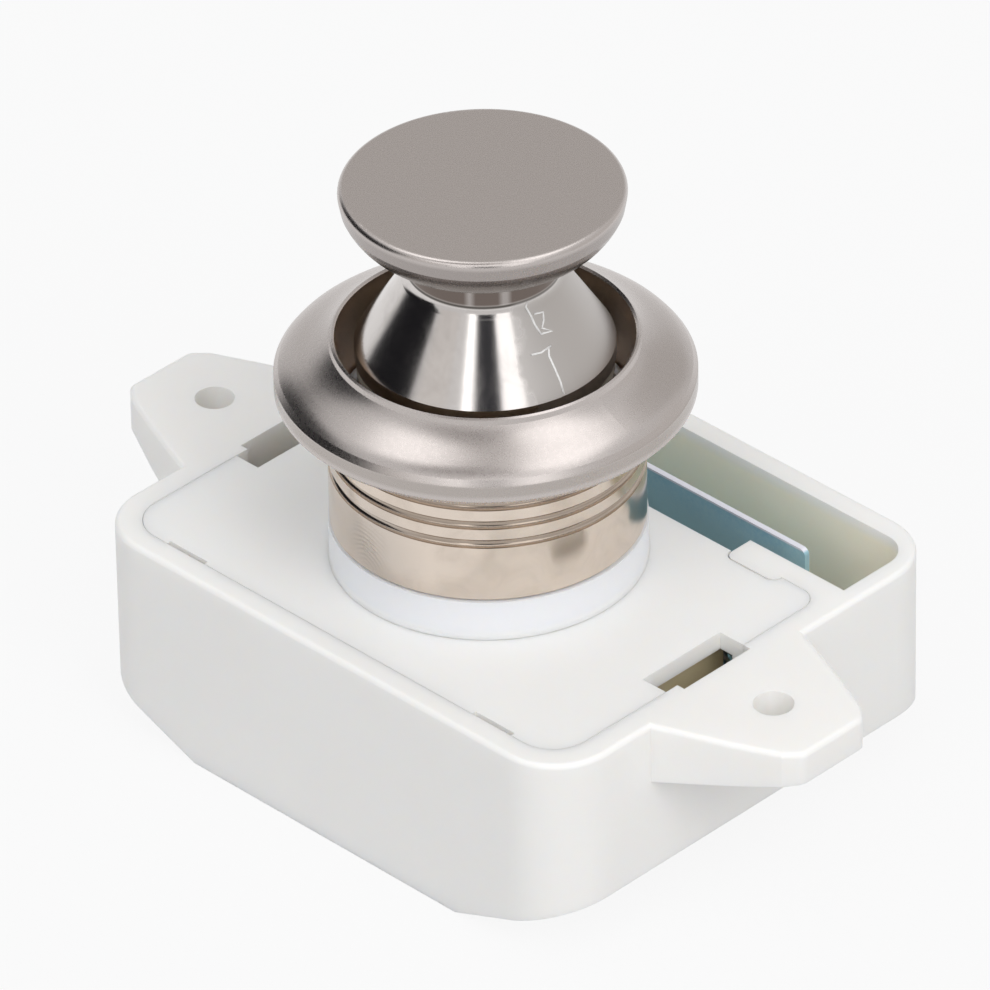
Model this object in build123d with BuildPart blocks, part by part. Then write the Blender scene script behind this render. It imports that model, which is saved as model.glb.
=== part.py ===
# Push button cabinet lock: case with two ears, snap-in lid, guide sleeve, metal rosette and knob,
# a push-push plunger with a heart track, and a steel latch plate driven by two wedges.
# Frame: origin on the knob's axis in the mounting plane, which lies on the inner face of the door.
# +Z runs out through the door to the knob, +Y to the keeper pocket, +X to one ear.
from math import atan, cos
from build123d import *
import os

os.makedirs("parts", exist_ok=True)

# Driving sizes
case_half_width = 26.5
knob_travel = 13.0
hold_travel = 12.0
latch_travel = 3.0
screw_radius = 1.95
screw_length = 22.0

# Heights of the sleeve, its ratchet rings and the knob that stands over it
sleeve_shoulder = 3.6
groove_rise = 5.6
groove_pitch = 1.8
groove_count = 3
knob_lift = 4.4
plunger_flange_thickness = 1.4
groove_first = sleeve_shoulder + groove_rise
sleeve_top = groove_first + groove_count * groove_pitch
knob_skirt_bottom = sleeve_top + knob_lift
plunger_flange_bottom = knob_skirt_bottom - plunger_flange_thickness

# Shared clearances
overrun = 5.0
seat_gap = 0.05
slide_gap = 0.3
sheet = 0.5
root_overlap = 0.4
cam_slope = latch_travel / knob_travel

# Knob screw and its washer
screw_hole_gap = 0.15
screw_tap_gap = 0.05
screw_tap_reserve = 0.8
screw_head_radius = 3.4
screw_head_height = 2.2
screw_head_round = 1.0
screw_tip_chamfer = 0.5
screw_recess_width = 1.0
screw_recess_length = 3.6
screw_recess_depth = 1.3
washer_rim = 0.1
washer_outer_radius = screw_head_radius + washer_rim
washer_inner_radius = screw_radius + screw_hole_gap
washer_thickness = 0.9
washer_split = 0.7

# Main spring and the post that centres it
main_spring_wire = 0.45
main_spring_washer_gap = 1.25
main_spring_radius = washer_outer_radius + main_spring_washer_gap + main_spring_wire
main_spring_gap = 0.35
post_gap = 0.55
post_radius = main_spring_radius - main_spring_wire - post_gap
post_height = 4.2

# Plunger
plunger_bottom = -3.0
plunger_wall = 1.0
plunger_bore_radius = main_spring_radius + main_spring_wire + main_spring_gap
plunger_tube_radius = plunger_bore_radius + plunger_wall
plunger_ledge_bottom = 8.0
plunger_flange_inset = 0.17
plunger_cone_gap = 0.1
fork_gap = 0.5
cheek_inset = 0.1
fork_half_width = plunger_tube_radius + fork_gap
cheek_inner = fork_half_width + cheek_inset
fin_overhang = 0.9
fin_inner = plunger_tube_radius - root_overlap
fin_outer = cheek_inner + sheet + fin_overhang
fin_front = 3.4
fin_start = 1.2
fin_foot_reach = 0.9
fin_foot_outer = fin_outer + fin_foot_reach
fin_foot_height = 2.5
fin_foot_top = plunger_bottom + fin_foot_height
pad_half_width = 3.6
pad_reach = 2.7
pad_front = plunger_tube_radius + pad_reach
pad_rim = 0.8
screw_seat = plunger_ledge_bottom - washer_thickness - 2 * seat_gap

# Guide sleeve
fin_foot_gap = 0.9
sleeve_bore_radius = fin_foot_outer + fin_foot_gap
sleeve_wall = 1.6
sleeve_tube_radius = sleeve_bore_radius + sleeve_wall
sleeve_bottom = -4.0
sleeve_hole_gap = 0.3
sleeve_foot_reach = 0.1
sleeve_skirt_overlap = 0.25
sleeve_skirt_edge = 0.15
sleeve_foot_blend_height = 0.3
sleeve_foot_blend_share = 0.3
sleeve_neck_wall = 0.65
sleeve_root_radius = sleeve_bore_radius + sleeve_neck_wall
sleeve_tooth_height = 0.4
sleeve_tooth_foot_half = 0.45
sleeve_tooth_tip_half = 0.22
sleeve_top_chamfer = 0.5
sleeve_top_inset = 0.25
bead_reach = 0.7
bead_height = 0.9
bead_width = 5.0
bead_count = 4
bead_turn = 30
guide_rib_tube_gap = 0.6
guide_rib_inner = plunger_tube_radius + guide_rib_tube_gap
guide_rib_outer = sleeve_bore_radius - root_overlap
guide_rib_front = 5.8
guide_rib_back = 4.35
guide_rib_flange_gap = 0.6
guide_rib_top = plunger_flange_bottom - knob_travel - guide_rib_flange_gap
stop_rib_fin_gap = 0.45
stop_rib_inner = fin_outer + stop_rib_fin_gap
stop_rib_front = 3.2
stop_rib_back = 1.4

# Rosette collar
collar_tooth_gap = 0.2
collar_bore_radius = sleeve_root_radius + sleeve_tooth_height + collar_tooth_gap
collar_wall = 0.75
barrel_radius = collar_bore_radius + collar_wall
collar_bottom = sleeve_shoulder + seat_gap
collar_edge_round = 0.25
groove_half_height = 0.42
groove_depth = 0.4
flange_reach = 4.15
flange_radius = barrel_radius + flange_reach
flange_root_gap = 0.4
flange_root_reach = 0.4
flange_root_rise = 0.6
flange_low_round = 0.45
flange_low_rise = 0.5
flange_band = 1.4
flange_top_round = 0.38
flange_top_rise = 0.48
flange_rise = 2.42
flange_root_height = sleeve_top + flange_root_gap
flange_under = flange_root_height + flange_root_rise
flange_band_low = flange_under + flange_low_rise
flange_band_top = flange_band_low + flange_band
flange_edge = flange_band_top + flange_top_rise
lip_top_width = 0.2
lip_outer_width = 0.37
lip_foot_width = 0.5
lip_inner_drop = 0.17
lip_outer_drop = 0.12
lip_foot_drop = 0.52
collar_top = flange_edge + flange_rise + lip_foot_drop
ogee_shares = ((0.19, 0.235), (0.46, 0.485), (0.75, 0.715))

# Knob
knob_sleeve_gap = 0.33
knob_skirt_radius = sleeve_bore_radius - knob_sleeve_gap
plunger_flange_radius = knob_skirt_radius - plunger_flange_inset
knob_head_gap = 0.56
knob_radius = collar_bore_radius - knob_head_gap
knob_skirt_height = 1.35
knob_cone_height = 6.05
knob_neck_radius = 6.15
knob_neck_blend_width = 0.45
knob_neck_blend_rise = 1.2
knob_neck_blend_shares = (0.27, 0.46)
knob_neck_length = 1.3
knob_root_blend_width = 1.15
knob_root_blend_rise = 1.05
knob_root_blend_shares = (0.26, 0.67)
knob_under_height = 3.25
knob_under_shares = (0.6, 0.34)
knob_rim_taper = 0.19
knob_rim_height = 1.05
knob_rim_round_width = 0.64
knob_rim_round_height = 0.62
knob_rim_round_shares = (0.25, 0.73)
knob_dome = 0.13
knob_wall = 1.12
knob_cone_wall = 1.0
knob_roof = 1.1
knob_cone_bottom = knob_skirt_bottom + knob_skirt_height
knob_cone_top = knob_cone_bottom + knob_cone_height
knob_cone_top_radius = knob_neck_radius + knob_neck_blend_width
knob_neck_bottom = knob_cone_top + knob_neck_blend_rise
knob_neck_top = knob_neck_bottom + knob_neck_length
knob_root = knob_neck_top + knob_root_blend_rise
knob_root_radius = knob_neck_radius + knob_root_blend_width
knob_rim_low = knob_root + knob_under_height
knob_rim_low_radius = knob_radius - knob_rim_taper
knob_rim_high = knob_rim_low + knob_rim_height
knob_face = knob_rim_high + knob_rim_round_height
knob_face_radius = knob_radius - knob_rim_round_width
knob_top = knob_face + knob_dome
knob_cavity_radius = knob_skirt_radius - knob_wall
knob_cavity_top_radius = knob_cone_top_radius - knob_cone_wall
knob_cavity_top = knob_cone_top - knob_roof
knob_tap_top = screw_seat + screw_length + screw_tap_reserve

# Follower wire
wire_radius = 0.45
wire_pad_gap = 0.75
wire_place = pad_front + wire_pad_gap + wire_radius
wire_tip_reach = 1.4
wire_tip_height = plunger_bottom + wire_tip_reach
wire_tip_gap = 0.3
wire_foot_length = 2.6
wire_foot_end = wire_place + wire_foot_length
wire_bend_radius = 1.0
wire_hole_gap = 0.06
wire_notch_half = 3.4
wire_notch_gap = 0.25
wire_notch_inner = wire_place - wire_radius - wire_notch_gap
wire_notch_reach = 0.65
wire_notch_top = wire_tip_height + wire_radius + wire_notch_reach

# Heart track in the plunger's pad
track_depth = 1.0
track_half_width = 0.75
track_end_gap = 0.55
track_bottom = wire_tip_height - wire_radius - track_end_gap - seat_gap
track_top = wire_tip_height + knob_travel + wire_radius + track_end_gap
track_loop_edge = 3.0
pad_top = track_top + pad_rim
island_inner = 0.75
island_outer = 1.6
island_reach = 2.8
island_tip_length = 0.9
island_low = wire_tip_height + island_reach
island_low_tip = island_low - island_tip_length
island_notch_gap = 0.25
island_notch = wire_tip_height + hold_travel - wire_radius - island_notch_gap
island_horn = 0.3
island_high = island_notch + island_horn

# Case, from its floor to the mounting plane and from its partition to both ends
floor_gap = 0.5
floor_thickness = 2.0
floor_root = 1.0
floor_top = plunger_bottom - knob_travel - floor_gap
case_depth = floor_thickness - floor_top
case_corner_radius = 5.4
case_top_round = 0.45
case_chamfer_run = 11.65
case_chamfer_rise = 4.45
side_wall = 3.5
chamber_half_width = case_half_width - side_wall
chamber_corner_radius = 2.0
lid_hole_radius = sleeve_tube_radius + sleeve_hole_gap
lid_bridge = 0.4
partition_thickness = 2.1
partition_front = lid_hole_radius + lid_bridge
partition_back = partition_front + partition_thickness
pocket_width = 8.0
pocket_wall = 1.6
pocket_half_width = case_half_width - pocket_wall
pocket_back = partition_back + pocket_width
pocket_corner_radius = 2.6
back_wall = 2.1
case_back = pocket_back + back_wall
sill_gap = 0.1
socket_half_width = 2.2
socket_wire_gap = 0.65
socket_back = wire_place + wire_radius + socket_wire_gap
socket_wall = 0.8
socket_front = wire_foot_end + socket_wall
socket_front_gap = 1.9
chamber_front = socket_front + socket_front_gap
front_wall = 3.2
case_front = chamber_front + front_wall
wire_pivot_rise = 1.8
wire_pivot_height = floor_top + wire_pivot_rise
socket_rise = 1.5
socket_top = wire_pivot_height + socket_rise

# Return springs, and the pegs on the partition that centre them
return_spring_wall_gap = 5.5
return_spring_place = chamber_half_width - return_spring_wall_gap
return_spring_radius = 1.75
return_spring_wire = 0.25
peg_radius = 1.15
peg_length = 1.6
peg_land = 0.9
partition_gap_half = return_spring_place - return_spring_radius - return_spring_wire - peg_land

# Lid
lid_side_rim = 2.3
lid_front_rim = 2.1
lid_seam = 0.04
lid_half_width = case_half_width - lid_side_rim
lid_front = case_front - lid_front_rim
lid_back = partition_front - lid_seam
lid_thickness = 1.6
lid_front_radius = 3.4
lid_back_radius = 1.8
tab_length = 5.4
tab_outer_half = partition_gap_half + tab_length
tab_reach = 0.85
tab_radius = 0.8
tab_seam = 0.15
slot_wall = 1.5
slot_width = 3.3
slot_wall_half = case_half_width - slot_wall
slot_inner_half = slot_wall_half - slot_width
slot_front = 4.7
slot_back = 4.2
slot_wall_reach = 3.4
slot_depth = 6.0
window_place = 4.8
window_length = 4.3
window_width = 0.4
window_outer_half = lid_half_width - window_place
window_inner_half = window_outer_half - window_length
hook_thickness = 1.0
hook_length = 4.6
hook_nib = 0.55
hook_nib_height = 0.9
undercut_depth = 1.1
undercut_height = 1.8
foot_cheek_gap = 0.9
foot_width = 1.8
foot_length = 2.8
foot_wall_gap = 0.9
foot_inner_half = cheek_inner + sheet + foot_cheek_gap
foot_outer_half = foot_inner_half + foot_width
foot_back = partition_front - foot_wall_gap
foot_front = foot_back - foot_length

# Ears, placed from the case's side wall
ear_hole_reach = 5.0
ear_hole_place = case_half_width + ear_hole_reach
ear_hole_radius = 1.65
ear_root_half = 8.8
ear_root_thickness = 5.5
ear_tip_thickness = 2.9
ear_shoulder_reach = 2.9
ear_shoulder_half = 7.7
ear_middle_reach = 6.2
ear_middle_half = 6.4
ear_end_reach = 10.2
ear_end_half = 4.6
ear_tip_reach = 11.5
ear_tip_half = 3.4
ear_seat_radius = 3.3
ear_seat_thickness = 3.6
ear_corner_round = 1.0
ear_tip_place = case_half_width + ear_tip_reach

# Latch plate
arm_rise = 5.0
arm_bottom = floor_top + arm_rise
arm_top = arm_bottom + sheet
fork_end = 7.7
prong_end = 6.0
prong_width = 2.9
prong_relief_end = 2.75
prong_relief_half = fork_half_width + prong_width
lug_half_width = 2.0
lug_height = 6.1
lug_inner = return_spring_place - lug_half_width
lug_outer = return_spring_place + lug_half_width
lug_top = arm_bottom + lug_height
side_gap = 0.5
head_half_width = lug_outer + side_gap + sheet
side_front = 2.2
side_back = 5.8
side_top = -2.4
head_back = 3.0
neck_gap = 0.8
neck_half_width = partition_gap_half - neck_gap
return_spring_rise = 3.5
return_spring_height = arm_bottom + return_spring_rise
hook_wall_gap = 2.8
hook_front = partition_back + hook_wall_gap
hook_top = -0.9
hook_side_gap = 6.9
hook_half_width = pocket_half_width - hook_side_gap
hook_corner_radius = 0.6
hook_tail_rise = 3.5
hook_tail = arm_bottom + hook_tail_rise
cheek_top = 1.0
cheek_back = 7.5
cheek_shoulder_rise = 3.0
cheek_shoulder = arm_bottom + cheek_shoulder_rise
horn_back = 3.0
horn_rise = 6.7
horn_foot = arm_bottom + horn_rise

# Floor rails under the latch plate
rail_gap = 0.2
rail_width = 1.4
rail_front = 5.0
rail_inner = prong_relief_half + rail_gap
rail_outer = rail_inner + rail_width

# Case underside inside the chamber, parallel to the chamfers outside
chamber_slope = case_chamfer_rise / case_chamfer_run
chamber_flat_half = case_half_width - case_chamfer_run
chamfer_thickness = floor_thickness / cos(atan(chamber_slope))
chamber_corner = floor_top + chamber_slope * (chamber_half_width - chamber_flat_half)
chamber_corner_height = chamber_corner + chamfer_thickness - floor_thickness


def mirrored(values):
    # Outline points on the right, followed by their mirror images on the left
    return values + [(-x, y) for x, y in reversed(values)]


def outline(points):
    # Closed polygon for the sketch that is open
    Polygon(*points, align=None)


def block(x_low, x_high, y_low, y_high, z_low, z_high, mode=Mode.ADD):
    # Box between two corners
    with Locations(((x_low + x_high) / 2, (y_low + y_high) / 2, (z_low + z_high) / 2)):
        Box(x_high - x_low, y_high - y_low, z_high - z_low, mode=mode)


def block_pair(inner, outer, y_low, y_high, z_low, z_high, mode=Mode.ADD):
    # The same box on both sides of the knob's axis
    block(inner, outer, y_low, y_high, z_low, z_high, mode)
    block(-outer, -inner, y_low, y_high, z_low, z_high, mode)


# Chamber that the lid closes, cut from the case
with BuildPart() as chamber:
    with BuildSketch(Plane.XZ.offset(-partition_front)):
        outline(mirrored([
            (chamber_flat_half, floor_top),
            (chamber_half_width, chamber_corner_height),
            (chamber_half_width, overrun),
        ]))
    extrude(amount=partition_front + chamber_front)
    fillet(chamber.edges().filter_by(Axis.Z), chamber_corner_radius)

# Case
with BuildPart() as case:
    with BuildSketch(Plane.XZ.offset(-case_back)):
        outline(mirrored([
            (chamber_flat_half, -case_depth),
            (case_half_width, -case_depth + case_chamfer_rise),
            (case_half_width, 0),
        ]))
    extrude(amount=case_back + case_front)
    fillet(case.edges().filter_by(Axis.Z), case_corner_radius)
    with BuildSketch(Plane.XY.offset(-case_depth)):
        with Locations((0, (case_back - case_front) / 2)):
            RectangleRounded(2 * case_half_width, case_back + case_front, case_corner_radius)
    extrude(amount=case_depth, mode=Mode.INTERSECT)
    # Ears, flush with the mounting plane and thinner towards their tips
    with BuildSketch(Plane.XY.offset(-ear_root_thickness)):
        ear_points = [
            (slot_wall_half, ear_root_half),
            (case_half_width, ear_root_half),
            (case_half_width + ear_shoulder_reach, ear_shoulder_half),
            (case_half_width + ear_middle_reach, ear_middle_half),
            (case_half_width + ear_end_reach, ear_end_half),
            (ear_tip_place, ear_tip_half),
        ]
        ear_outline = ear_points + [(x, -y) for x, y in reversed(ear_points)]
        outline(ear_outline)
        fillet(vertices().group_by(Axis.X)[-1], ear_corner_round)
    extrude(amount=ear_root_thickness)
    with BuildSketch(Plane.XY.offset(-ear_root_thickness)):
        outline([(-x, y) for x, y in ear_outline])
        fillet(vertices().group_by(Axis.X)[0], ear_corner_round)
    extrude(amount=ear_root_thickness)
    with BuildSketch(Plane.XZ.offset(-ear_root_half - overrun)):
        for side in (-1, 1):
            outline([
                (side * case_half_width, -ear_root_thickness),
                (side * ear_tip_place, -ear_tip_thickness),
                (side * (ear_tip_place + overrun), -ear_tip_thickness),
                (side * (ear_tip_place + overrun), -ear_root_thickness - overrun),
                (side * case_half_width, -ear_root_thickness - overrun),
            ])
    extrude(amount=2 * (ear_root_half + overrun), mode=Mode.SUBTRACT)
    fillet(case.faces().sort_by(Axis.Z)[-1].edges(), case_top_round)
    with Locations((-ear_hole_place, 0), (ear_hole_place, 0)):
        Cylinder(ear_hole_radius, 2 * (ear_root_thickness + overrun), mode=Mode.SUBTRACT)
    with Locations((-ear_hole_place, 0, -ear_seat_thickness), (ear_hole_place, 0, -ear_seat_thickness)):
        Cylinder(ear_seat_radius, ear_root_thickness, mode=Mode.SUBTRACT,
                 align=(Align.CENTER, Align.CENTER, Align.MAX))
    # Chamber, lid recess and keeper pocket
    add(chamber.part, mode=Mode.SUBTRACT)
    with BuildSketch(Plane.XY.offset(-lid_thickness - seat_gap)):
        outline(mirrored([
            (lid_half_width + lid_seam, -lid_front - lid_seam),
            (lid_half_width + lid_seam, partition_front),
        ]))
        fillet(vertices().group_by(Axis.Y)[0], lid_front_radius + lid_seam)
        fillet(vertices().group_by(Axis.Y)[-1], lid_back_radius + lid_seam)
    extrude(amount=lid_thickness + overrun, mode=Mode.SUBTRACT)
    with BuildSketch(Plane.XY.offset(overrun)):
        outline(mirrored([(pocket_half_width, partition_back), (pocket_half_width, pocket_back)]))
        fillet(vertices().group_by(Axis.Y)[-1], pocket_corner_radius)
    extrude(amount=-case_depth - 2 * overrun, mode=Mode.SUBTRACT)
    # Gap for the latch plate's neck, over a sill
    block(-partition_gap_half, partition_gap_half, partition_front - overrun, partition_back + overrun,
          arm_bottom - sill_gap, overrun, Mode.SUBTRACT)
    # Notches in the side walls next to the lid's slots
    block_pair(slot_inner_half, slot_wall_half, -slot_wall_reach, slot_back,
               -slot_depth, overrun, Mode.SUBTRACT)
    # Undercuts for the lid's front hooks
    block_pair(window_inner_half - lid_seam, window_outer_half + lid_seam,
               -chamber_front - undercut_depth, -chamber_front + overrun,
               -lid_thickness - hook_length - sill_gap,
               -lid_thickness - hook_length + undercut_height, Mode.SUBTRACT)
    # Rounded tabs that cover the lid's back corners
    with BuildSketch(Plane.XY.offset(-lid_thickness)):
        for side in (-1, 1):
            with Locations((side * (partition_gap_half + tab_outer_half) / 2, partition_front)):
                RectangleRounded(tab_length, 2 * tab_reach, tab_radius)
    extrude(amount=lid_thickness)
    # Post for the main spring, rails under the latch plate, pegs for the return springs
    with Locations((0, 0, floor_top)):
        Cylinder(post_radius, post_height, align=(Align.CENTER, Align.CENTER, Align.MIN))
    block_pair(rail_inner, rail_outer, -rail_front, partition_back,
               floor_top - floor_root, arm_bottom - sill_gap)
    with BuildSketch(Plane.XZ.offset(-partition_front)):
        for side in (-1, 1):
            with Locations((side * return_spring_place, return_spring_height)):
                Circle(peg_radius)
    extrude(amount=peg_length)
    # Socket that the follower wire's foot turns in
    block(-socket_half_width, socket_half_width, -socket_front, -socket_back,
          floor_top - floor_root, socket_top)
    with BuildSketch(Plane.XZ.offset(socket_back - socket_wire_gap)):
        with Locations((0, wire_pivot_height)):
            Circle(wire_radius + wire_hole_gap)
    extrude(amount=wire_foot_end + wire_hole_gap - socket_back + socket_wire_gap, mode=Mode.SUBTRACT)

# Lid with its front hooks and the feet that hold the latch plate down
with BuildPart() as lid:
    with BuildSketch(Plane.XY.offset(-lid_thickness)):
        outline(mirrored([(lid_half_width, -lid_front), (lid_half_width, lid_back)]))
        fillet(vertices().group_by(Axis.Y)[0], lid_front_radius)
        fillet(vertices().group_by(Axis.Y)[-1], lid_back_radius)
        Circle(lid_hole_radius, mode=Mode.SUBTRACT)
        for side in (-1, 1):
            with Locations((side * (slot_inner_half + slot_wall_half) / 2, (slot_back - slot_front) / 2)):
                Rectangle(slot_width, slot_back + slot_front, mode=Mode.SUBTRACT)
            with Locations((side * (window_inner_half + window_outer_half) / 2, -lid_front)):
                Rectangle(window_length, 2 * window_width, mode=Mode.SUBTRACT)
            with Locations((side * (partition_gap_half + tab_outer_half) / 2, partition_front)):
                RectangleRounded(tab_length + 2 * tab_seam, 2 * (tab_reach + tab_seam),
                                 tab_radius + tab_seam, mode=Mode.SUBTRACT)
    extrude(amount=lid_thickness)
    hook_face = -chamber_front + lid_seam
    hook_bottom = -lid_thickness - hook_length
    block_pair(window_inner_half, window_outer_half, hook_face, hook_face + hook_thickness,
               hook_bottom, -lid_thickness + root_overlap)
    block_pair(window_inner_half, window_outer_half, -chamber_front - hook_nib, hook_face + root_overlap,
               hook_bottom, hook_bottom + hook_nib_height)
    block_pair(foot_inner_half, foot_outer_half, foot_front, foot_back,
               arm_top + sill_gap, -lid_thickness + root_overlap)

# Guide sleeve, clicked into the lid, with ratchet rings for the collar
sleeve_foot_radius = barrel_radius + sleeve_foot_reach
sleeve_skirt_radius = lid_hole_radius + sleeve_skirt_overlap
sleeve_blend_width = sleeve_skirt_radius - sleeve_foot_radius
with BuildPart() as guide_sleeve:
    with BuildSketch(Plane.XZ):
        with BuildLine():
            Polyline((sleeve_bore_radius, sleeve_bottom), (sleeve_tube_radius, sleeve_bottom),
                     (sleeve_tube_radius, seat_gap), (sleeve_skirt_radius, seat_gap),
                     (sleeve_skirt_radius, sleeve_skirt_edge))
            ThreePointArc((sleeve_skirt_radius, sleeve_skirt_edge),
                          (sleeve_foot_radius + sleeve_foot_blend_share * sleeve_blend_width,
                           sleeve_skirt_edge + sleeve_foot_blend_share * sleeve_foot_blend_height),
                          (sleeve_foot_radius, sleeve_skirt_edge + sleeve_foot_blend_height))
            Polyline((sleeve_foot_radius, sleeve_skirt_edge + sleeve_foot_blend_height),
                     (sleeve_foot_radius, sleeve_shoulder), (sleeve_root_radius, sleeve_shoulder),
                     (sleeve_root_radius, sleeve_top - sleeve_top_chamfer),
                     (sleeve_root_radius - sleeve_top_inset, sleeve_top),
                     (sleeve_bore_radius, sleeve_top), (sleeve_bore_radius, sleeve_bottom))
        make_face()
        for step in range(groove_count + 1):
            tooth_middle = groove_first + groove_pitch * (step - 1 / 2)
            with BuildLine(mode=Mode.PRIVATE) as tooth:
                Polyline((sleeve_root_radius - seat_gap, tooth_middle - sleeve_tooth_foot_half),
                         (sleeve_root_radius + sleeve_tooth_height, tooth_middle - sleeve_tooth_tip_half),
                         (sleeve_root_radius + sleeve_tooth_height, tooth_middle + sleeve_tooth_tip_half),
                         (sleeve_root_radius - seat_gap, tooth_middle + sleeve_tooth_foot_half), close=True)
            add(make_face(tooth.edges(), mode=Mode.PRIVATE))
    revolve(axis=Axis.Z)
    with PolarLocations(sleeve_tube_radius, bead_count, start_angle=bead_turn):
        with Locations((0, 0, -lid_thickness - seat_gap)):
            Box(2 * bead_reach, bead_width, bead_height, align=(Align.CENTER, Align.CENTER, Align.MAX))
    block_pair(guide_rib_inner, guide_rib_outer, -guide_rib_front, -guide_rib_back,
               sleeve_bottom, guide_rib_top)
    block_pair(stop_rib_inner, (sleeve_bore_radius + sleeve_tube_radius) / 2,
               -stop_rib_front, -stop_rib_back, fin_foot_top + slide_gap, guide_rib_top)
    block(-wire_notch_half, wire_notch_half, -sleeve_tube_radius - overrun, -wire_notch_inner,
          sleeve_bottom - overrun, wire_notch_top, Mode.SUBTRACT)


def groove_arc(radius, height, mode):
    # Round bead inside the barrel's wall, or round hollow outside it, at that height
    low = (radius + seat_gap, height - groove_half_height)
    high = (radius + seat_gap, height + groove_half_height)
    with BuildLine(mode=Mode.PRIVATE) as arc:
        ThreePointArc(low, (radius - groove_depth, height), high)
        Line(high, low)
    add(make_face(arc.edges(), mode=Mode.PRIVATE), mode=mode)


# Rosette collar with three rolled grooves that click on the sleeve's ratchet rings
lip_foot_radius = collar_bore_radius + lip_foot_width
lip_foot = collar_top - lip_foot_drop
flange_edge_radius = flange_radius - flange_top_round
ogee_width = flange_edge_radius - lip_foot_radius
ogee_drop = lip_foot - flange_edge
ogee = [(lip_foot_radius + out * ogee_width, lip_foot - down * ogee_drop) for out, down in ogee_shares]
with BuildPart() as collar:
    with BuildSketch(Plane.XZ):
        with BuildLine():
            Polyline((collar_bore_radius, collar_bottom),
                     (barrel_radius - collar_edge_round, collar_bottom),
                     (barrel_radius, collar_bottom + collar_edge_round),
                     (barrel_radius, flange_root_height),
                     (barrel_radius + flange_root_reach, flange_under),
                     (flange_radius - flange_low_round, flange_under),
                     (flange_radius, flange_band_low),
                     (flange_radius, flange_band_top),
                     (flange_edge_radius, flange_edge))
            Spline((flange_edge_radius, flange_edge), *reversed(ogee), (lip_foot_radius, lip_foot))
            Polyline((lip_foot_radius, lip_foot),
                     (collar_bore_radius + lip_outer_width, collar_top - lip_outer_drop),
                     (collar_bore_radius + lip_top_width, collar_top),
                     (collar_bore_radius, collar_top - lip_inner_drop),
                     (collar_bore_radius, collar_bottom))
        make_face()
        for step in range(groove_count):
            groove_arc(collar_bore_radius, groove_first + groove_pitch * step, Mode.ADD)
            groove_arc(barrel_radius, groove_first + groove_pitch * step, Mode.SUBTRACT)
    revolve(axis=Axis.Z)


def between(start, end, shares):
    # Point that lies those shares of the way from one point to another, outwards and upwards
    return tuple(a + share * (b - a) for a, b, share in zip(start, end, shares))


# Knob: disc-shaped head, neck and hollow cone
knob_cone_end = (knob_cone_top_radius, knob_cone_top)
knob_neck_low = (knob_neck_radius, knob_neck_bottom)
knob_neck_high = (knob_neck_radius, knob_neck_top)
knob_root_end = (knob_root_radius, knob_root)
knob_rim_foot = (knob_rim_low_radius, knob_rim_low)
knob_rim_head = (knob_radius, knob_rim_high)
knob_face_edge = (knob_face_radius, knob_face)
with BuildPart() as knob:
    with BuildSketch(Plane.XZ):
        with BuildLine():
            Polyline((0, knob_top), (0, knob_cavity_top), (knob_cavity_top_radius, knob_cavity_top),
                     (knob_cavity_radius, knob_cone_bottom), (knob_cavity_radius, knob_skirt_bottom),
                     (knob_skirt_radius, knob_skirt_bottom), (knob_skirt_radius, knob_cone_bottom),
                     knob_cone_end)
            ThreePointArc(knob_neck_low, between((knob_neck_radius, knob_cone_top),
                                                 (knob_cone_top_radius, knob_neck_bottom),
                                                 knob_neck_blend_shares), knob_cone_end)
            Line(knob_neck_low, knob_neck_high)
            ThreePointArc(knob_neck_high, between(knob_neck_high, knob_root_end, knob_root_blend_shares),
                          knob_root_end)
            ThreePointArc(knob_root_end, between(knob_root_end, knob_rim_foot, knob_under_shares),
                          knob_rim_foot)
            Line(knob_rim_foot, knob_rim_head)
            ThreePointArc(knob_rim_head, between((knob_radius, knob_rim_high), (knob_face_radius, knob_face),
                                                 knob_rim_round_shares), knob_face_edge)
            Line(knob_face_edge, (0, knob_top))
        make_face()
    revolve(axis=Axis.Z)
    with Locations((0, 0, knob_cavity_top)):
        Cylinder(screw_radius + screw_tap_gap, knob_tap_top - knob_cavity_top, mode=Mode.SUBTRACT,
                 align=(Align.CENTER, Align.CENTER, Align.MIN))

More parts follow.
